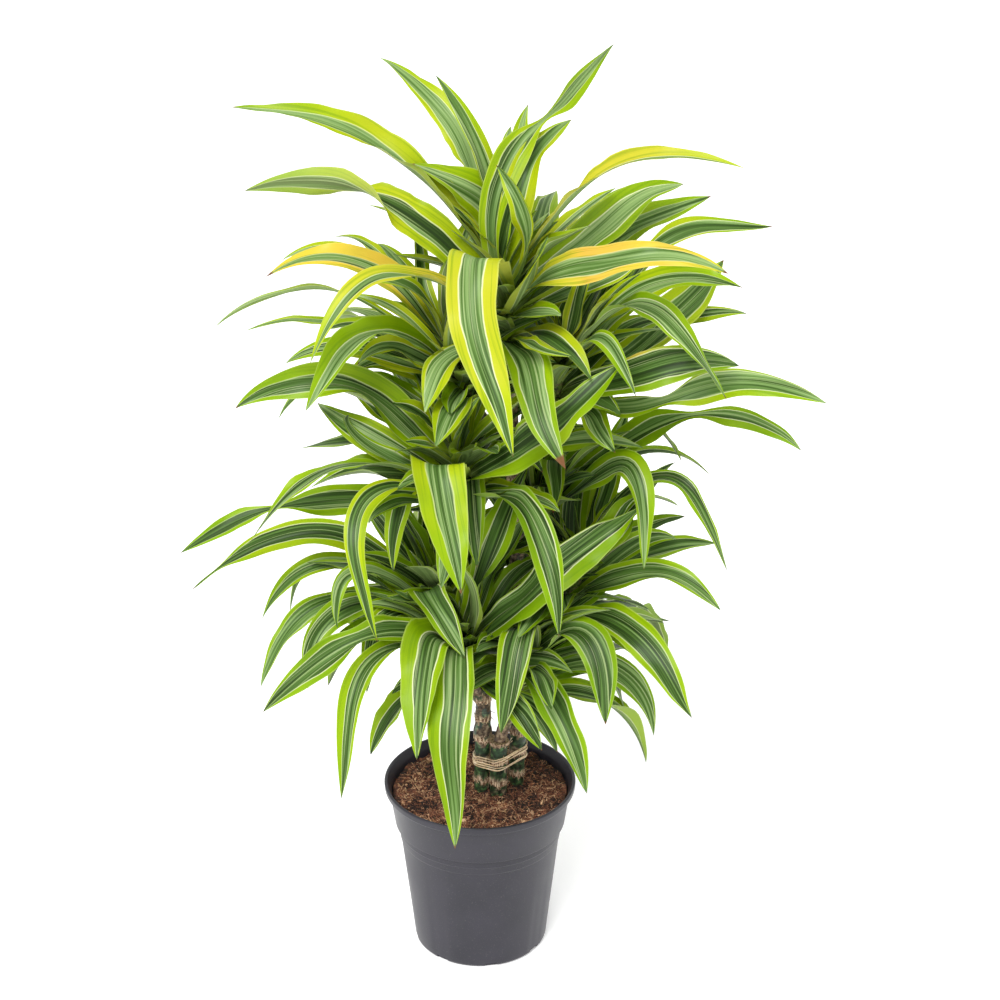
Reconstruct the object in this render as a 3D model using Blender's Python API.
"""A lemon lime dracaena in its nursery pot, in metres, with +Z up and the origin under the pot.

Three cut canes stand in plain holes in the peat and are tied together with raffia. Nine leafy
shoots grow from them. Each shoot is one solid with its leaves, because they grew as one piece.
"""
import math
import random

import bmesh
import bpy
from mathutils import Matrix, Vector
from mathutils.bvhtree import BVHTree

CM = 0.01
MM = 0.001
GAP = 0.3 * MM

# Nursery pot
POT_SIDES = 40
POT_HEIGHT = 198 * MM
RIM_RADIUS = 105 * MM
RIM_DEPTH = 9 * MM
LIP_WIDTH = 3.2 * MM
COLLAR_TOP_RADIUS = 99.5 * MM
COLLAR_FOOT_RADIUS = 93.5 * MM
COLLAR_FOOT = 148 * MM
WALL_TOP_RADIUS = 89.5 * MM
FOOT_RADIUS = 73.5 * MM
FOOT_ROUND = 3 * MM
POT_WALL = 2 * MM
RING_STEP = 9 * MM
RING_PROUD = 0.7 * MM
DRAIN_COUNT = 8
DRAIN_WIDTH = 14 * MM
DRAIN_DEPTH = 5 * MM
DRAIN_HEIGHT = 4.5 * MM
DRAIN_INSIDE = 1 * MM
# The first slot lies this share of a slot's spacing past the +X side.
DRAIN_TURN = 0.22

# Peat
SOIL_TOP = 184 * MM
SOIL_BUMP = 3 * MM
SOIL_SEED = 11
# Rings of bumps, as shares of the inner radius
SOIL_RINGS = (0.86, 0.60, 0.32)
HOLE_SIDES = 16
HOLE_LENGTH = 120 * MM

# Canes, each through points from its foot to its cut top
CANE_SIDES = 8
SCAR_SPACING = 30 * MM
SCAR_PROUD = 0.7 * MM
CANES = {
    "cane_tall": (
        8.6 * MM,
        ((0.036, 0.013, 0.11), (0.043, 0.014, 0.29), (0.042, 0.018, 0.45), (0.035, 0.015, 0.60)),
    ),
    "cane_middle": (
        8.2 * MM,
        ((0.0, -0.002, 0.11), (0.004, 0.0, 0.30), (0.004, 0.0, 0.40), (0.0, -0.005, 0.47)),
    ),
    "cane_short": (
        9.2 * MM,
        ((0.020, -0.008, 0.11), (0.020, -0.008, 0.18), (0.021, -0.009, 0.25)),
    ),
}

# Raffia tie
TIE_HEIGHT = 226 * MM
TIE_STRANDS = ((-3.6 * MM, 1.5 * MM), (-0.6 * MM, 1.9 * MM), (2.6 * MM, 1.7 * MM))
TIE_POINTS = 18
TIE_WAVE = 1.2 * MM
TIE_PHASE = 2.4
STRAND_SIDES = 5

# Shoots
SHOOT_SIDES = 8
SHOOT_RADIUS = 6.5 * MM
SHOOT_TIP_RADIUS = 3.5 * MM
SHOOT_RINGS = 7
SHOOT_SHOULDER = 0.85
STUB_RINGS = 4
WOOD_LENGTH = 26 * MM
LEAFY_LENGTH = 100 * MM

# Leaves
GOLDEN_TURN = math.radians(137.5)
BLADE_THICKNESS = 1.6 * MM
TEST_THICKNESS = 3.4 * MM
TEST_MARGIN = 1.2 * MM
BLADE_STEP = 48 * MM
TIGHT_FOLD = 1.4
TEST_STEPS = 10
ROOT_WIDTH = 7 * MM
ROOT_SUNK = 4 * MM
WIDEST_AT = 0.42
NECK_SHARE = 0.42
FOOT_SHARE = 0.1
POINT_POWER = 1.7
FACING_FROM = 0.25
TWIST_FROM = 0.35
TWIST_OVER = 0.5
KEEL_AT_ROOT = 38
KEEL_FLATTER = 26
OUTER_FROM_RING = 2
# A leaf that rises this steeply grows at the top of the leafy length, and one that points
# this many degrees further down grows at its foot.
UPRIGHT_RISE = 80
RISE_RANGE = 140
# Where set leaves grow, as shares of the leafy length: the highest, and the rest of the way
SET_ROOTS = (0.12, 0.80)

# How finely a curve is followed before it is cut into even steps
FINE_STEPS = 120
SPAN_STEPS = 24
ROUTE_STEPS = 48
FILLER_STEPS = 12

# Filler leaves, where age runs from 0 for the oldest to 1 for the youngest
FILLER_LENGTH = (25 * CM, -12 * CM)
FILLER_BACK_EXTRA = 5 * CM
FILLER_SIDE_SHORTER = 0.22
FILLER_FRONT_SHORTER = 0.25
FILLER_RISE = (20, 60)
FILLER_DROOP = (95, -75)
FILLER_WIDTH = (4.2 * CM, -1.6 * CM)
FILLER_ROOTS = (0.92, -0.82)
FILLER_FACING = 0.15
FILLER_STRETCH = (0.85, 1.05)
FILLER_RISE_POWER = 0.8

# The place that the front view is seen from: it looks down on the plant
VIEW_FROM = Vector((0.022, -2.0, 1.40))
VIEW_TILT = math.radians(23.5)
SEEN_RIGHT = Vector((1, 0, 0))
SEEN_UP = Vector((0, math.sin(VIEW_TILT), math.cos(VIEW_TILT)))
SEEN_NEAR = Vector((0, -math.cos(VIEW_TILT), math.sin(VIEW_TILT)))

# Each shoot: its cane, the path of its stem up to the growing point, how many leaves
# fill it besides the set ones, and the turn of the first of those in degrees.
SHOOTS = {
    "head_top": (
        "cane_tall",
        ((0.035, 0.015, 0.60), (0.031, 0.006, 0.69), (0.025, 0.0, 0.775)),
        11, 60,
    ),
    "head_upper_left": (
        "cane_tall",
        ((0.036, 0.015, 0.575), (-0.005, 0.0, 0.635), (-0.035, -0.01, 0.71)),
        9, 100,
    ),
    "head_upper_right": (
        "cane_tall",
        ((0.037, 0.016, 0.555), (0.07, 0.022, 0.61), (0.085, 0.02, 0.685)),
        10, 30,
    ),
    "head_middle_left": (
        "cane_middle",
        ((0.0, -0.005, 0.47), (-0.014, -0.025, 0.54), (-0.025, -0.04, 0.605)),
        9, 120,
    ),
    "head_middle_right": (
        "cane_tall",
        ((0.043, 0.015, 0.325), (0.085, 0.024, 0.375), (0.11, 0.03, 0.45)),
        11, 40,
    ),
    "head_centre_back": (
        "cane_tall",
        ((0.042, 0.017, 0.40), (0.055, 0.045, 0.45), (0.06, 0.06, 0.515)),
        14, 80,
    ),
    "head_left": (
        "cane_middle",
        ((0.004, 0.0, 0.335), (-0.032, 0.004, 0.375), (-0.05, 0.0, 0.435)),
        10, 150,
    ),
    "head_lower_left": (
        "cane_middle",
        ((0.004, -0.001, 0.29), (-0.014, -0.024, 0.345), (-0.015, -0.03, 0.405)),
        8, 200,
    ),
    "head_lower_right": (
        "cane_short",
        ((0.021, -0.009, 0.25), (0.04, -0.02, 0.32), (0.06, 0.0, 0.395)),
        9, 10,
    ),
}

# The set leaves of each shoot, as they are seen from the front. A row is the crest of the
# leaf and its tip, each as right, up and near in centimetres from the growing point, then
# the width in centimetres, how far the face turns to the front from 0 to 1, how sharply
# the leaf folds over, where 1 is an even bend, and its twist in degrees.
SET_LEAVES = {
    "head_top": (
        ((-4.3, 13.2, -3), (-12.2, 21.3, -8), 3.6, 0.5, 1, 0),
        ((-2.0, 10.5, 2), (-6.7, 19.6, 3), 3.0, 0.4, 1, 0),
        ((0.7, 8.5, -4), (2.5, 16.7, -8), 3.0, 0.3, 1, 0),
        ((0.6, 9.6, 1), (11.0, 22.7, -2), 3.2, 0.6, 1, 60),
        ((1.7, 8.6, 3), (6.8, 15.2, 1), 3.8, 0.5, 1.3, 0),
        ((2.3, 4.3, 5), (-0.7, 10.7, 6), 3.4, 0.7, 1, 0),
        ((0.5, 3.0, 3), (1.0, 6.0, 4), 1.6, 0.5, 1, 0),
        ((-10.5, 11.0, 2), (-27.0, 16.4, 2), 3.4, 0.5, 1, 0),
        ((-11.3, 6.8, 5), (-25.6, 8.1, 7), 4.2, 0.6, 1, 90),
        ((-1.5, 6.3, 3), (-9.0, 10.8, 4), 3.6, 0.6, 1, 0),
        ((-1.8, 1.2, 12), (1.0, -18.2, 15), 5.2, 0.6, 5, 0),
        ((-11.7, 0.3, 9), (-19.1, -9.0, 11), 2.7, 0.4, 1.8, 0),
        ((10.2, 9.9, 6), (24.0, 10.3, 10), 3.0, 0.0, 1.2, 0),
        ((7.0, 4.6, -5), (12.5, 8.6, -10), 2.5, 0.2, 1, 0),
        ((7.7, 4.0, -3), (17.9, 8.8, -8), 4.2, 0.4, 1, 0),
        ((10.5, 3.6, -7), (20.6, 7.6, -12), 3.8, 0.4, 1, 0),
        ((14.5, 2.0, -4), (26.7, 4.6, -7), 3.2, 0.3, 1, 0),
        ((10.0, 1.9, 9), (22.3, -0.1, 11), 4.2, 0.8, 1, 0),
        ((2.4, -1.0, 6), (4.5, 3.7, 9), 3.0, 0.6, 1, 0),
        ((1.7, -10.0, 9), (6.2, -19.4, 12), 3.6, 0.6, 2, 0),
        ((3.0, -7.3, 8), (7.0, -8.3, 12), 2.2, 0.5, 1, 0),
    ),
    "head_upper_left": (
        ((-7.2, 8.2, -3), (-16.2, 7.7, -5), 2.6, 0.2, 1, 0),
        ((-6.0, 7.6, -6), (-11.4, 9.9, -10), 2.4, 0.2, 1, 0),
        ((-7.3, 7.2, 3), (-17.7, 6.1, 5), 3.2, 0.5, 1, 0),
        ((-12.0, 4.9, 1), (-22.8, 1.0, 1), 1.8, 0.3, 1, 80),
        ((-10.0, 1.0, -4), (-19.8, 0.7, -5), 1.7, 0.2, 1, 0),
        ((-3.0, 4.3, 4), (-7.5, 5.7, 6), 2.6, 0.5, 1, 0),
        ((-4.0, 2.2, 6), (-9.2, 4.4, 8), 2.0, 0.3, 1, 0),
        ((-6.0, 2.0, -5), (-11.7, 2.2, -8), 3.0, 0.2, 1, 0),
        ((-6.5, 0.5, -2), (-12.4, 0.4, -4), 3.0, 0.2, 1, 0),
        ((-7.5, -1.0, 0), (-14.2, -1.6, 0), 3.2, 0.3, 1, 0),
        ((-8.0, -1.5, 3), (-15.7, -2.5, 4), 3.0, 0.3, 1, 0),
        ((-7.2, 0.5, 7), (-13.7, -7.3, 10), 4.0, 0.6, 1, 0),
        ((0.5, 4.0, 3), (1.0, 9.0, 5), 2.6, 0.5, 1, 0),
        ((2.0, 4.0, 4), (4.5, 6.5, 7), 2.8, 0.5, 1, 0),
    ),
    "head_upper_right": (
        ((9.0, 1.6, -5), (16.4, 9.4, -11), 4.4, 0.5, 1, 0),
        ((10.5, 2.6, -6), (18.8, 3.9, -9), 2.8, 0.3, 1, 0),
        ((7.5, 4.6, 8), (16.7, -4.8, 12), 3.6, 0.4, 1.2, 0),
        ((9.5, -1.3, 4), (18.0, -1.4, 5), 3.6, 0.7, 1, 0),
        ((14.5, -2.9, 2), (26.9, -5.2, 4), 3.8, 0.5, 1, 0),
        ((8.0, 6.4, 6), (18.4, 6.5, 9), 3.0, 0.0, 1, 0),
        ((5.5, 6.0, -5), (10.8, 11.8, -9), 2.6, 0.2, 1, 0),
        ((1.5, 5.0, 3), (3.5, 9.5, 5), 3.0, 0.5, 1, 0),
        ((3.5, 4.0, 5), (8.0, 8.0, 8), 3.0, 0.4, 1, 0),
        ((4.0, 1.5, 8), (7.5, -4.5, 12), 2.4, 0.4, 1.5, 0),
    ),
    "head_middle_left": (
        ((-10.8, 6.1, 2), (-21.9, 3.9, 3), 4.4, 0.75, 1, 0),
        ((-10.4, 5.5, -4), (-17.6, 2.7, -6), 3.0, 0.3, 1, 0),
        ((-10.9, -1.8, 5), (-20.5, -9.7, 7), 3.2, 0.5, 1, 0),
        ((-14.5, -5.6, 1), (-27.4, -10.6, 1), 3.8, 0.6, 1, 60),
        ((-9.1, -5.5, 8), (-7.6, -19.5, 10), 3.2, 0.5, 1.5, 0),
        ((-1.8, -1.8, 10), (0.8, -14.7, 12), 4.8, 0.6, 5, 0),
        ((8.1, 0.9, 6), (16.9, 8.5, 7), 4.6, 0.7, 1, 0),
        ((7.6, -7.3, 8), (10.6, -19.0, 11), 4.0, 0.6, 1.2, 0),
        ((-5.8, -6.0, 4), (-8.5, -7.7, 5), 2.4, 0.4, 1, 0),
        ((-0.5, 4.0, 1), (-1.7, 6.8, 1), 2.2, 0.5, 1, 0),
        ((1.2, 2.6, 3), (2.8, 5.2, 4), 2.4, 0.5, 1, 0),
        ((-2.5, 5.0, -3), (-3.5, 9.5, -5), 3.0, 0.4, 1, 0),
        ((0.6, 5.0, -3), (1.5, 10.0, -5), 3.0, 0.4, 1, 0),
        ((4.0, 1.0, -1), (9.0, -2.5, -1), 3.4, 0.4, 1, 0),
        ((1.4, -3.0, 4), (2.4, -12.0, 5), 3.2, 0.4, 1.3, 0),
        ((-4.6, -4.0, -1), (-6.0, -12.5, -2), 3.2, 0.4, 1.2, 0),
    ),
    "head_middle_right": (
        ((6.8, -1.5, 5), (14.7, -5.6, 8), 3.4, 0.6, 1, 0),
        ((4.5, -7.6, 6), (11.6, -17.0, 9), 3.6, 0.5, 1, 0),
        ((5.8, 6.3, -3), (9.9, 10.2, -6), 2.0, 0.2, 1, 0),
        ((8.4, 8.4, 4), (15.4, -1.5, 6), 2.8, 0.5, 1, 0),
        ((2.6, 2.6, -3), (5.8, 5.0, -5), 3.0, 0.3, 1, 0),
        ((4.5, 4.5, 2), (9.0, 9.5, 2), 3.2, 0.4, 1, 0),
        ((-0.5, 3.0, 2), (-1.0, 6.0, 3), 2.4, 0.4, 1, 0),
    ),
    "head_centre_back": (
        ((15.5, 7.7, 5), (28.3, 4.2, 8), 4.0, 0.5, 1, 60),
        ((10.8, 3.6, -6), (18.7, 1.4, -8), 2.6, 0.1, 1, 0),
        ((9.9, 3.0, 8), (11.5, -8.4, 11), 3.4, 0.5, 2, 0),
        ((-1.0, 4.0, 4), (-0.5, 9.5, 5), 3.4, 0.4, 1, 0),
        ((2.5, 3.5, 5), (2.0, -2.0, 9), 3.0, 0.4, 1.5, 0),
        ((-3.5, 2.5, 4), (-7.0, -2.0, 8), 3.4, 0.4, 1.2, 0),
        ((-1.5, -1.5, 6), (-3.0, -8.0, 9), 3.4, 0.4, 1.3, 0),
        ((0.8, 0.4, 5), (1.9, -2.4, 9), 3.0, 0.4, 1, 0),
        ((-3.0, 4.5, 2), (-7.0, 7.0, 4), 3.2, 0.3, 1, 0),
    ),
    "head_left": (
        ((0.0, -1.0, 6), (3.5, -7.9, 9), 3.8, 0.6, 1.5, 0),
        ((-4.8, -3.8, 4), (-6.8, -11.6, 6), 2.8, 0.5, 1, 0),
        ((-9.8, 2.8, -2), (-17.9, -3.9, -2), 2.6, 0.3, 1, 0),
        ((-10.3, 2.0, -5), (-14.9, -3.5, -6), 2.2, 0.2, 1, 0),
        ((-10.8, -1.5, 1), (-18.0, -11.0, 2), 3.0, 0.5, 1, 0),
        ((-9.3, -2.0, 3), (-13.0, -11.2, 4), 3.0, 0.5, 1, 0),
        ((-8.0, 1.0, 6), (-9.9, -4.8, 7), 2.4, 0.4, 1, 0),
        ((-11.3, 4.6, 0), (-25.3, -0.8, 0), 4.0, 0.7, 1, 0),
    ),
    "head_lower_left": (
        ((-1.2, -4.3, 8), (-1.0, -23.8, 13), 3.9, 0.7, 3, 0),
        ((-4.3, -1.8, 8), (-5.0, -14.5, 11), 4.4, 0.7, 2, 0),
        ((-9.6, -1.5, 3), (-21.1, -9.5, 4), 4.0, 0.7, 1, 0),
        ((-9.6, -5.1, 5), (-12.9, -18.6, 7), 3.8, 0.6, 1, 0),
        ((0.4, 3.5, 5), (-2.6, 7.4, 7), 2.4, 0.3, 1, 0),
        ((1.3, 4.0, -3), (3.6, 8.7, -6), 3.0, 0.3, 1, 0),
        ((0.8, 7.0, -2), (1.4, 14.5, -4), 3.2, 0.4, 1, 0),
        ((2.8, 8.3, 0), (6.7, 16.4, -1), 3.8, 0.5, 1, 0),
        ((2.6, 5.0, 1), (6.5, 11.0, 1), 3.4, 0.4, 1, 0),
        ((-1.6, 5.0, 1), (-4.0, 11.0, 2), 3.0, 0.4, 1, 0),
        ((4.0, 3.0, -4), (9.5, 7.0, -8), 3.4, 0.3, 1, 0),
        ((9.9, 4.8, 5), (18.7, 12.2, 5), 4.2, 0.8, 1, 0),
        ((4.1, -8.1, 3), (8.1, -13.5, 5), 2.4, 0.5, 1, 0),
    ),
    "head_lower_right": (
        ((5.0, -1.8, 6), (7.4, -11.4, 8), 4.0, 0.6, 1.2, 0),
        ((7.8, -5.4, -2), (12.5, -12.6, -2), 3.2, 0.4, 1, 0),
        ((-1.0, -1.8, 7), (-3.7, -12.4, 9), 3.6, 0.7, 2, 0),
        ((1.9, -7.9, 5), (5.4, -18.7, 8), 3.8, 0.7, 1, 0),
        ((5.5, -4.5, -4), (9.5, -10.0, -6), 3.0, 0.3, 1, 0),
    ),
}

# How far a leaf that would cross a neighbour is bent clear, in centimetres along the
# line of sight at its crest and at its tip, so that it keeps its place in the front view.
NUDGES = sorted(
    ((crest, tip) for crest in range(-7, 8) for tip in range(-9, 10) if abs(crest - tip) <= 3),
    key=lambda pair: (abs(pair[0]) + abs(pair[1]), pair),
)
# Fillers are turned and tipped instead, in degrees.
SWINGS = sorted(
    ((turn, tip) for turn in range(-40, 41, 8) for tip in range(-18, 19, 6)),
    key=lambda pair: (abs(pair[0]) + abs(pair[1]), pair),
)

COLOURS = {
    "pot": ((0.10, 0.10, 0.11), 0.45),
    "peat": ((0.10, 0.05, 0.03), 0.95),
    "bark": ((0.16, 0.12, 0.08), 0.85),
    "leaf": ((0.16, 0.36, 0.05), 0.40),
    "raffia": ((0.60, 0.42, 0.24), 0.70),
}


def clear_scene():
    for thing in list(bpy.data.objects):
        bpy.data.objects.remove(thing, do_unlink=True)


def material(name):
    """A plain material of this colour and roughness, made once."""
    if name in bpy.data.materials:
        return bpy.data.materials[name]
    colour, roughness = COLOURS[name]
    made = bpy.data.materials.new(name)
    made.use_nodes = True
    shader = made.node_tree.nodes["Principled BSDF"]
    shader.inputs["Base Color"].default_value = (*colour, 1)
    shader.inputs["Roughness"].default_value = roughness
    shader.inputs["Metallic"].default_value = 0
    return made


def add_object(name, vertices, faces, finish):
    """A closed mesh object whose faces point out."""
    mesh = bpy.data.meshes.new(name)
    mesh.from_pydata([tuple(v) for v in vertices], [], faces)
    shape = bmesh.new()
    shape.from_mesh(mesh)
    bmesh.ops.recalc_face_normals(shape, faces=shape.faces)
    shape.to_mesh(mesh)
    shape.free()
    thing = bpy.data.objects.new(name, mesh)
    thing.data.materials.append(material(finish))
    bpy.context.scene.collection.objects.link(thing)
    return thing


def apply_modifiers(thing):
    """Keeps the shape that the object's modifiers give, and drops the modifiers."""
    graph = bpy.context.evaluated_depsgraph_get()
    result = bpy.data.meshes.new_from_object(thing.evaluated_get(graph))
    thing.modifiers.clear()
    thing.data = result


def boolean(thing, others, operation):
    """Joins the others to a thing, or cuts them from it, and removes them."""
    group = bpy.data.collections.new(thing.name + "_parts")
    bpy.context.scene.collection.children.link(group)
    for other in others:
        for owner in list(other.users_collection):
            owner.objects.unlink(other)
        group.objects.link(other)
    step = thing.modifiers.new("boolean", "BOOLEAN")
    step.operation = operation
    step.operand_type = "COLLECTION"
    step.collection = group
    step.solver = "EXACT"
    apply_modifiers(thing)
    for other in list(group.objects):
        bpy.data.objects.remove(other, do_unlink=True)
    bpy.data.collections.remove(group)


def keep_outer_shell(thing):
    """Fills the small pockets closed in between crowded leaf roots: the outer shell stays."""
    shape = bmesh.new()
    shape.from_mesh(thing.data)
    shells, found = [], set()
    for face in shape.faces:
        if face in found:
            continue
        found.add(face)
        shell, reached = [], [face]
        while reached:
            current = reached.pop()
            shell.append(current)
            for edge in current.edges:
                for other in edge.link_faces:
                    if other not in found:
                        found.add(other)
                        reached.append(other)
        shells.append(shell)
    shells.sort(key=len)
    for shell in shells[:-1]:
        bmesh.ops.delete(shape, geom=shell, context="FACES")
    shape.to_mesh(thing.data)
    shape.free()
    return [len(shell) for shell in shells[:-1]]


def lathe(name, profile, sides, finish):
    """Turns a closed profile of radius and height about the Z axis. Its ends lie on the axis."""
    vertices, faces = [], []
    rings = []
    for radius, height in profile:
        if radius == 0:
            rings.append([len(vertices)] * sides)
            vertices.append((0, 0, height))
            continue
        rings.append(list(range(len(vertices), len(vertices) + sides)))
        for k in range(sides):
            turn = math.tau * k / sides
            vertices.append((radius * math.cos(turn), radius * math.sin(turn), height))
    for low, high in zip(rings, rings[1:]):
        for k in range(sides):
            corners = (low[k], low[(k + 1) % sides], high[(k + 1) % sides], high[k])
            faces.append(tuple(dict.fromkeys(corners)))
    return add_object(name, vertices, faces, finish)


def wall_radius(height):
    """Outer radius of the plain lower wall, which tapers down to the foot."""
    share = (height - FOOT_ROUND) / (COLLAR_FOOT - FOOT_ROUND)
    return FOOT_RADIUS + (WALL_TOP_RADIUS - FOOT_RADIUS) * share


def collar_radius(height):
    """Outer radius of the collar below the rim."""
    share = (height - COLLAR_FOOT) / (POT_HEIGHT - RIM_DEPTH - COLLAR_FOOT)
    return COLLAR_FOOT_RADIUS + (COLLAR_TOP_RADIUS - COLLAR_FOOT_RADIUS) * share


def inner_radius(height):
    """Inner radius of the pot, a wall's thickness inside the outer one."""
    if height < COLLAR_FOOT:
        return wall_radius(height) - POT_WALL
    return collar_radius(height) - POT_WALL


def build_pot():
    low_ring = COLLAR_FOOT - 2 * RING_STEP
    rim_foot = POT_HEIGHT - RIM_DEPTH
    outside = [
        (0, 0),
        (FOOT_RADIUS - FOOT_ROUND, 0),
        (FOOT_RADIUS - 0.3 * FOOT_ROUND, 0.3 * FOOT_ROUND),
        (FOOT_RADIUS, FOOT_ROUND),
        (wall_radius(low_ring), low_ring),
        (wall_radius(low_ring) + RING_PROUD, low_ring + RING_PROUD),
        (wall_radius(low_ring + RING_STEP) + RING_PROUD, low_ring + RING_STEP),
        (WALL_TOP_RADIUS + 2 * RING_PROUD, COLLAR_FOOT - RING_PROUD),
        (COLLAR_FOOT_RADIUS, COLLAR_FOOT + RING_PROUD),
        (COLLAR_TOP_RADIUS, rim_foot),
        (RIM_RADIUS - RING_PROUD, rim_foot + 2 * RING_PROUD),
        (RIM_RADIUS, rim_foot + 4 * RING_PROUD),
        (RIM_RADIUS, POT_HEIGHT - RING_PROUD),
        (RIM_RADIUS - RING_PROUD, POT_HEIGHT),
    ]
    inside = [
        (RIM_RADIUS - LIP_WIDTH, POT_HEIGHT),
        (inner_radius(rim_foot) + RING_PROUD, rim_foot + RING_PROUD),
        (inner_radius(COLLAR_FOOT + POT_WALL), COLLAR_FOOT + POT_WALL),
        (inner_radius(COLLAR_FOOT - RING_PROUD), COLLAR_FOOT - RING_PROUD),
        (inner_radius(2 * POT_WALL), 2 * POT_WALL),
        (inner_radius(2 * POT_WALL) - POT_WALL, POT_WALL),
        (0, POT_WALL),
    ]
    pot = lathe("pot", outside + inside, POT_SIDES, "pot")
    drains = []
    for k in range(DRAIN_COUNT):
        turn = Matrix.Rotation(math.tau * (k + DRAIN_TURN) / DRAIN_COUNT, 4, "Z")
        drain = bpy.data.objects.new("drain", box_mesh(DRAIN_DEPTH, DRAIN_WIDTH, DRAIN_HEIGHT))
        middle = Vector((FOOT_RADIUS - DRAIN_INSIDE, 0, 0))
        drain.data.transform(turn @ Matrix.Translation(middle))
        drains.append(drain)
        bpy.context.scene.collection.objects.link(drain)
    boolean(pot, drains, "DIFFERENCE")
    return pot


def box_mesh(depth, width, height):
    mesh = bpy.data.meshes.new("box")
    shape = bmesh.new()
    bmesh.ops.create_cube(shape, size=1)
    bmesh.ops.scale(shape, vec=(depth, width, 2 * height), verts=shape.verts)
    shape.to_mesh(mesh)
    shape.free()
    return mesh


def build_soil():
    """Peat up to a little under the rim, with low bumps, and a plain hole for each cane."""
    draw = random.Random(SOIL_SEED)
    foot = 2 * POT_WALL + GAP
    profile = [
        (0, POT_WALL + GAP),
        (inner_radius(2 * POT_WALL) - POT_WALL - GAP, POT_WALL + GAP),
        (inner_radius(foot) - GAP, foot),
        (inner_radius(COLLAR_FOOT - RING_PROUD) - GAP, COLLAR_FOOT - RING_PROUD),
        (inner_radius(COLLAR_FOOT + POT_WALL) - GAP, COLLAR_FOOT + POT_WALL + GAP),
        (inner_radius(SOIL_TOP) - GAP, SOIL_TOP - SOIL_BUMP),
        *((ring * inner_radius(SOIL_TOP), SOIL_TOP) for ring in SOIL_RINGS),
        (0, SOIL_TOP),
    ]
    soil = lathe("soil", profile, POT_SIDES, "peat")
    for vertex in soil.data.vertices:
        if vertex.co.z > SOIL_TOP - 0.5 * SOIL_BUMP:
            vertex.co.z += draw.uniform(-SOIL_BUMP, SOIL_BUMP)
    holes = []
    for name, (radius, points) in CANES.items():
        foot_point, next_point = Vector(points[0]), Vector(points[1])
        along = (next_point - foot_point).normalized()
        path = [foot_point - along * GAP, foot_point + along * HOLE_LENGTH]
        reach = (radius + SCAR_PROUD + GAP) / math.cos(math.pi / HOLE_SIDES)
        holes.append(tube("hole_" + name, path, [reach, reach], HOLE_SIDES, "peat"))
    boolean(soil, holes, "DIFFERENCE")
    return soil


def smooth_path(points, count):
    """Evenly spaced points on a smooth curve through the given ones."""
    given = [Vector(p) for p in points]
    ends = [2 * given[0] - given[1]] + given + [2 * given[-1] - given[-2]]
    fine = []
    for a, b, c, d in zip(ends, ends[1:], ends[2:], ends[3:]):
        for k in range(SPAN_STEPS):
            t = k / SPAN_STEPS
            straight = 2 * b + (c - a) * t
            bend = (2 * a - 5 * b + 4 * c - d) * t * t + (3 * b - a - 3 * c + d) * t ** 3
            fine.append((straight + bend) / 2)
    fine.append(given[-1])
    return even_points(fine, count)


def even_points(fine, count):
    """The given number of points, evenly spaced along a finer line."""
    reach = [0.0]
    for a, b in zip(fine, fine[1:]):
        reach.append(reach[-1] + (b - a).length)
    out, spot = [], 0
    for k in range(count):
        want = reach[-1] * k / (count - 1)
        while spot < len(fine) - 2 and reach[spot + 1] < want:
            spot += 1
        step = reach[spot + 1] - reach[spot]
        share = (want - reach[spot]) / step if step else 0
        out.append(fine[spot].lerp(fine[spot + 1], min(1, share)))
    return out


def path_length(points):
    return sum((b - a).length for a, b in zip(points, points[1:]))


def path_tangent(points, k):
    ahead = points[min(k + 1, len(points) - 1)]
    behind = points[max(k - 1, 0)]
    return (ahead - behind).normalized()


def tube(name, points, radii, sides, finish, closed=False, first=None, last=None):
    """A round bar along a path, or a closed ring. Its end faces are square to the path, or to
    the directions given for its first and its last point."""
    vertices, faces = [], []
    side = None
    count = len(points)
    for k, point in enumerate(points):
        if closed:
            along = (points[(k + 1) % count] - points[k - 1]).normalized()
        else:
            along = path_tangent(points, k)
        if first and k == 0:
            along = first
        if last and k == count - 1:
            along = last
        side = along.cross(Vector((0, 0, 1)) if closed else Vector((0, 1, 0))) if side is None else side
        side = (side - along * side.dot(along)).normalized()
        other = along.cross(side)
        for j in range(sides):
            turn = math.tau * j / sides
            vertices.append(point + radii[k] * (side * math.cos(turn) + other * math.sin(turn)))
    for k in range(count if closed else count - 1):
        for j in range(sides):
            low, high = k * sides, (k + 1) % count * sides
            corners = (low + j, low + (j + 1) % sides, high + (j + 1) % sides, high + j)
            faces.append(corners)
    if not closed:
        faces.append(tuple(range(sides))[::-1])
        faces.append(tuple(range((count - 1) * sides, count * sides)))
    return add_object(name, vertices, faces, finish)


def cane_end(name):
    """The direction of a cane at its cut top."""
    return path_tangent(smooth_path(CANES[name][1], FINE_STEPS + 1), FINE_STEPS)


def wood_and_stem(shoot):
    """A shoot's woody stub, which is fused to its cane, the green stem that goes on from it
    past a fine gap, and the direction square to that gap. A shoot on a cane's top has no stub."""
    cane, path = SHOOTS[shoot][:2]
    fine = smooth_path(path, FINE_STEPS + 1)
    if path[0] == CANES[cane][1][-1]:
        along = cane_end(cane)
        return [], [fine[0] + along * GAP] + fine[2:], along
    cut = round(FINE_STEPS * WOOD_LENGTH / path_length(fine))
    along = path_tangent(fine, cut)
    return fine[: cut + 1], [fine[cut] + along * GAP] + fine[cut + 2:], along


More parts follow.
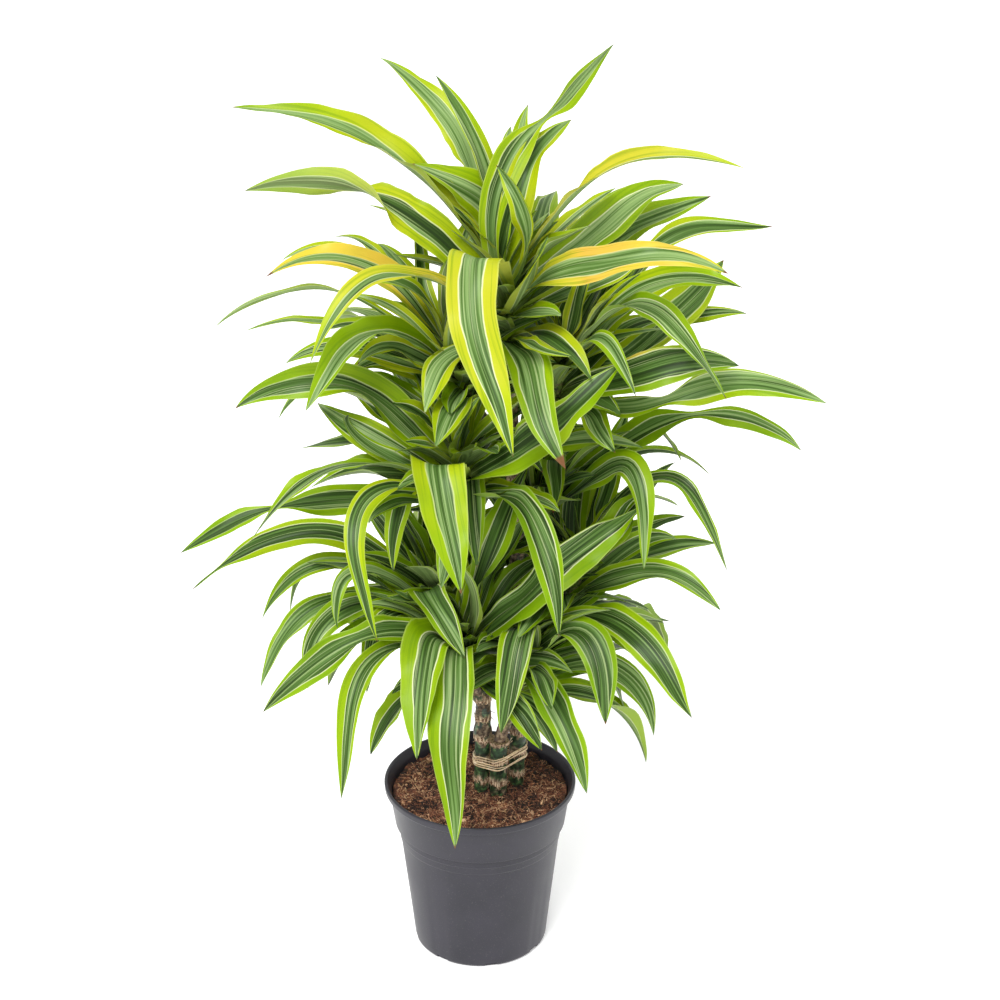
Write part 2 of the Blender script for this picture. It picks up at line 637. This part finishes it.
def build_canes():
    """Each cane with its ring scars, and a short woody stub where each side shoot grows out."""
    canes = {}
    for name, (radius, points) in CANES.items():
        length = path_length(smooth_path(points, FINE_STEPS + 1))
        count = 2 * round(length / SCAR_SPACING) + 1
        line = smooth_path(points, count)
        radii = [radius + (SCAR_PROUD if k % 2 else 0) for k in range(count)]
        cane = tube(name, line, radii, CANE_SIDES, "bark", last=cane_end(name))
        stubs = []
        for shoot in SHOOTS:
            wood, _, along = wood_and_stem(shoot)
            if SHOOTS[shoot][0] != name or not wood:
                continue
            line = even_points(wood, STUB_RINGS)
            radii = [SHOOT_RADIUS] * STUB_RINGS
            stubs.append(tube("stub_" + shoot, line, radii, SHOOT_SIDES, "bark", last=along))
        if stubs:
            boolean(cane, stubs, "UNION")
        canes[name] = cane
    return canes


def point_at_height(line, height):
    """The point of a rising line at this height."""
    for a, b in zip(line, line[1:]):
        if b.z >= height:
            return a.lerp(b, (height - a.z) / (b.z - a.z))
    return line[-1]


def tie_point(lines, turn, height, reach):
    """A point of the band pulled tight round the canes, in the direction of this turn."""
    out = Vector((math.cos(turn), math.sin(turn), 0))
    best = None
    for name, line in lines.items():
        edge = point_at_height(line, height) + out * (CANES[name][0] + SCAR_PROUD + GAP + reach)
        if best is None or edge.dot(out) > best.dot(out):
            best = edge
    return best


def build_tie():
    """Raffia strands wound round the three canes, pressed together into one band."""
    lines = {name: smooth_path(cane[1], FINE_STEPS + 1) for name, cane in CANES.items()}
    strands = []
    for k, (lift, thick) in enumerate(TIE_STRANDS):
        fine = []
        for j in range(4 * TIE_POINTS):
            turn = math.tau * j / (4 * TIE_POINTS)
            wave = TIE_WAVE * math.sin(turn + TIE_PHASE * k)
            fine.append(tie_point(lines, turn, TIE_HEIGHT + lift + wave, thick))
        fine.append(fine[0])
        line = even_points(fine, TIE_POINTS + 1)[:-1]
        radii = [thick] * TIE_POINTS
        strands.append(tube("strand_%d" % k, line, radii, STRAND_SIDES, "raffia", closed=True))
    band = strands[0]
    band.name = "raffia_tie"
    boolean(band, strands[1:], "UNION")
    return band


def seen(origin, right, up, near):
    """The place seen this far right of and above the origin, in centimetres from the front,
    and then brought nearer to the viewer along the line of sight."""
    flat = origin + SEEN_RIGHT * right * CM + SEEN_UP * up * CM
    sight = VIEW_FROM - flat
    return flat + sight * (near * CM / sight.dot(SEEN_NEAR))


def stem_point(stem, down):
    """The point of the stem this far below its growing point."""
    back = stem[::-1]
    for a, b in zip(back, back[1:]):
        step = (b - a).length
        if down <= step:
            return a.lerp(b, down / step)
        down -= step
    return back[-1]


def leaf_root(stem, crest):
    """Leaves that stand upright grow near the tip of the stem, and hanging ones lower down."""
    growing = stem[-1]
    out = crest - growing
    rise = math.atan2(out.z, math.hypot(out.x, out.y))
    share = min(1, max(0, (math.radians(UPRIGHT_RISE) - rise) / math.radians(RISE_RANGE)))
    middle = stem_point(stem, LEAFY_LENGTH * (SET_ROOTS[0] + SET_ROOTS[1] * share))
    return sunk_root(middle, crest)


def sunk_root(middle, toward):
    """Where a leaf that heads this way starts, well inside the stem's skin."""
    return middle + (toward - middle).normalized() * max(0, SHOOT_RADIUS - ROOT_SUNK)


def leaf_route(root, crest, tip, fold, steps):
    """Points along the midrib: one bend from the root over the crest to the tip."""
    corner = (crest * (2 + 2 * fold) - root - tip) / (2 * fold)
    fine = []
    for k in range(ROUTE_STEPS + 1):
        t = k / ROUTE_STEPS
        a, b, c = (1 - t) ** 2, 2 * fold * t * (1 - t), t * t
        fine.append((root * a + corner * b + tip * c) / (a + b + c))
    return even_points(fine, steps + 1)


def leaf_width(share, width):
    """A clasping foot, the full width a little before the middle, and a long point."""
    swell = min(1, share / WIDEST_AT)
    swell = swell * swell * (3 - 2 * swell)
    taper = max(0, (share - WIDEST_AT) / (1 - WIDEST_AT))
    foot = ROOT_WIDTH + (NECK_SHARE * width - ROOT_WIDTH) * min(1, share / FOOT_SHARE)
    return (foot + (width - foot) * swell) * (1 - taper ** POINT_POWER)


def leaf_frames(route, face, twist):
    """The midrib's points with the upper face's direction and the blade's side at each."""
    flat = route[-1] - route[0]
    flat.z = 0
    if flat.length < 2 * CM:
        flat = route[len(route) // 2] - route[0]
        flat.z = 0
    across = Vector((0, 0, 1)).cross(flat.normalized())
    frames = []
    for k, point in enumerate(route):
        along = path_tangent(route, k)
        normal = along.cross(across).normalized()
        front = SEEN_NEAR - along * SEEN_NEAR.dot(along)
        off = math.atan2(along.dot(normal.cross(front)), normal.dot(front))
        share = k / (len(route) - 1)
        bend = min(1, max(0, (share - TWIST_FROM) / TWIST_OVER))
        turn = face * off * front.length ** 2 * min(1, share / FACING_FROM)
        turn += math.radians(twist) * bend * bend * (3 - 2 * bend)
        normal = Matrix.Rotation(turn, 3, along) @ normal
        frames.append((point, normal, normal.cross(along)))
    return frames


def leaf_steps(leaf):
    """How many rings a blade of this length needs, with one more where it folds over."""
    root, crest, tip, _, _, fold, _ = leaf
    length = (crest - root).length + (tip - crest).length
    return max(3, round(length / BLADE_STEP) + (1 if fold > TIGHT_FOLD else 0))


def leaf_mesh(leaf, steps, thickness, margin):
    """Rings of left edge, top, right edge and underside, which close in a point at the tip."""
    root, crest, tip, width, face, fold, twist = leaf
    route = leaf_route(root, crest, tip, fold, steps)
    vertices, faces = [], []
    for k, (point, normal, side) in enumerate(leaf_frames(route, face, twist)[:-1]):
        share = k / steps
        half = leaf_width(share, width) / 2 + margin
        keel = math.radians(KEEL_AT_ROOT - KEEL_FLATTER * min(1, 2 * share))
        out = side * half * math.cos(keel)
        lift = normal * half * math.sin(keel)
        rib = normal * thickness / 2
        vertices += [point + out + lift, point + rib, point - out + lift, point - rib]
    vertices.append(route[-1])
    for k in range(steps - 1):
        left, top, right, under = range(4 * k, 4 * k + 4)
        left2, top2, right2, under2 = range(4 * k + 4, 4 * k + 8)
        for edge, edge2, mid, mid2 in (
            (left, left2, top, top2),
            (left, left2, under, under2),
            (right, right2, top, top2),
            (right, right2, under, under2),
        ):
            faces += [(edge, mid, mid2), (edge, mid2, edge2)]
    last = 4 * (steps - 1)
    end = len(vertices) - 1
    for edge, mid in ((0, 1), (0, 3), (2, 1), (2, 3)):
        faces.append((last + edge, last + mid, end))
    faces += [(0, 1, 3), (1, 2, 3)]
    return vertices, faces


def set_leaf(stem, row, crest_nudge=0, tip_nudge=0):
    """A leaf of the table, as points in metres."""
    (right, up, near), (tip_right, tip_up, tip_near), width, face, fold, twist = row
    growing = stem[-1]
    crest = seen(growing, right, up, near + crest_nudge)
    tip = seen(growing, tip_right, tip_up, tip_near + tip_nudge)
    return leaf_root(stem, crest), crest, tip, width * CM, face, fold, twist


def fill_leaf(stem, age, turn, stretch, swing=0, tipping=0):
    """A leaf of the spiral: the oldest, at age 0, droop, and the youngest stand upright."""
    turn += math.radians(swing)
    front = max(0, -math.sin(turn))
    aside = abs(math.cos(turn))
    length = FILLER_LENGTH[0] + FILLER_LENGTH[1] * age * age + FILLER_BACK_EXTRA * math.sin(turn)
    length *= stretch * (1 - FILLER_FRONT_SHORTER * front) * (1 - FILLER_SIDE_SHORTER * aside)
    rise = math.radians(FILLER_RISE[0] + FILLER_RISE[1] * age ** FILLER_RISE_POWER + tipping)
    drop = math.radians(FILLER_DROOP[0] + FILLER_DROOP[1] * age)
    middle = stem_point(stem, LEAFY_LENGTH * (FILLER_ROOTS[0] + FILLER_ROOTS[1] * age))
    root = sunk_root(middle, middle + Vector((math.cos(turn), math.sin(turn), math.tan(rise))))
    place, line = root.copy(), [root]
    for k in range(FILLER_STEPS):
        lean = rise - drop * (k + 0.5) / FILLER_STEPS
        level = Vector((math.cos(turn), math.sin(turn), 0)) * math.cos(lean)
        place = place + (level + Vector((0, 0, math.sin(lean)))) * length / FILLER_STEPS
        line.append(place)
    width = (FILLER_WIDTH[0] + FILLER_WIDTH[1] * age) * stretch
    return root, line[FILLER_STEPS // 2], line[-1], width, FILLER_FACING * front, 1, 0


def blade_tree(leaf, thickness=TEST_THICKNESS, margin=TEST_MARGIN):
    """A search tree of the blade, both as it is modelled and along its smooth curve."""
    vertices, faces = leaf_mesh(leaf, leaf_steps(leaf), thickness, margin)
    smooth, smooth_faces = leaf_mesh(leaf, TEST_STEPS, thickness, margin)
    faces += [tuple(len(vertices) + k for k in face) for face in smooth_faces]
    vertices += smooth
    return BVHTree.FromPolygons(vertices, faces, epsilon=0), box_of(vertices)


def box_of(vertices):
    low = Vector([min(v[i] for v in vertices) for i in range(3)])
    high = Vector([max(v[i] for v in vertices) for i in range(3)])
    return low, high


def boxes_meet(one, two):
    return all(one[0][i] < two[1][i] and two[0][i] < one[1][i] for i in range(3))


def object_tree(thing):
    vertices = [v.co.copy() for v in thing.data.vertices]
    faces = [tuple(p.vertices) for p in thing.data.polygons]
    return BVHTree.FromPolygons(vertices, faces, epsilon=0), box_of(vertices)


def crosses(tree, box, obstacles):
    return any(boxes_meet(box, other_box) and tree.overlap(other) for other, other_box in obstacles)


def crosses_itself(leaf):
    """Whether the blade is bent so tightly that it would run through itself."""
    vertices, faces = leaf_mesh(leaf, leaf_steps(leaf), BLADE_THICKNESS, 0)
    tree = BVHTree.FromPolygons(vertices, faces, epsilon=0)
    return any(not set(faces[i]) & set(faces[j]) for i, j in tree.overlap(tree))


def outer_tree(leaf):
    """The outer part of a blade, past the crowded roots, for leaves of the same shoot."""
    vertices, faces = leaf_mesh(leaf, TEST_STEPS, BLADE_THICKNESS, 0)
    outer = [face for face in faces if min(face) >= 4 * OUTER_FROM_RING]
    return BVHTree.FromPolygons(vertices, outer, epsilon=0), box_of(vertices)


def place_leaves(stems, fixed):
    """Chooses every leaf, bent clear of all other shoots, and of its own where it can be."""
    placed = {name: [] for name in stems}
    trees = {name: [] for name in stems}
    outer = {name: [] for name in stems}
    dropped = []

    def try_leaf(name, number, options):
        others = list(fixed[name])
        for other, found in trees.items():
            if other != name:
                others += found
        spare = None
        for leaf in options:
            tree, box = blade_tree(leaf)
            if crosses(tree, box, others) or crosses_itself(leaf):
                continue
            tip_tree, tip_box = outer_tree(leaf)
            if not crosses(tip_tree, tip_box, outer[name]):
                spare = leaf
                break
            spare = spare or leaf
        if spare is None:
            dropped.append((name, number))
            return
        placed[name].append(spare)
        trees[name].append(blade_tree(spare, BLADE_THICKNESS, 0))
        outer[name].append(outer_tree(spare))

    for name, stem in stems.items():
        for number, row in enumerate(SET_LEAVES[name]):
            try_leaf(name, number, (set_leaf(stem, row, *nudge) for nudge in NUDGES))
    for name, stem in stems.items():
        count, first = SHOOTS[name][2:]
        draw = random.Random(first)
        for k in range(count):
            age = k / (count - 1)
            turn = math.radians(first) + GOLDEN_TURN * k
            stretch = draw.uniform(*FILLER_STRETCH)
            number = len(SET_LEAVES[name]) + k
            options = (fill_leaf(stem, age, turn, stretch, *swing) for swing in SWINGS)
            try_leaf(name, number, options)
    return placed, dropped


def build_heads(canes, still):
    """Each leafy shoot, fused with its leaves."""
    stems, cores = {}, {}
    for name in SHOOTS:
        _, stem, along = wood_and_stem(name)
        stems[name] = stem
        line = even_points(stem, SHOOT_RINGS)
        radii = [SHOOT_RADIUS] * (SHOOT_RINGS - 2) + [SHOOT_SHOULDER * SHOOT_RADIUS, SHOOT_TIP_RADIUS]
        cores[name] = tube(name, line, radii, SHOOT_SIDES, "leaf", first=along)
    bodies = {name: object_tree(core) for name, core in cores.items()}
    around = [object_tree(thing) for thing in [*canes.values(), *still]]
    fixed = {name: around + [bodies[other] for other in bodies if other != name] for name in bodies}
    placed, dropped = place_leaves(stems, fixed)
    for name, leaves in placed.items():
        blades = []
        for leaf in leaves:
            vertices, faces = leaf_mesh(leaf, leaf_steps(leaf), BLADE_THICKNESS, 0)
            blades.append(add_object("blade", vertices, faces, "leaf"))
        boolean(cores[name], blades, "UNION")
        pockets = keep_outer_shell(cores[name])
        print(name, len(leaves), "leaves,", len(cores[name].data.polygons), "faces, pockets", pockets)
    print("leaves left out:", dropped)
    return placed


def build():
    clear_scene()
    pot = build_pot()
    soil = build_soil()
    canes = build_canes()
    tie = build_tie()
    placed = build_heads(canes, [pot, soil, tie])
    for thing in (pot, soil, *canes.values(), tie):
        thing.data.shade_smooth()
        thing.data.set_sharp_from_angle(angle=math.radians(30))
    return placed


LEAVES = build()
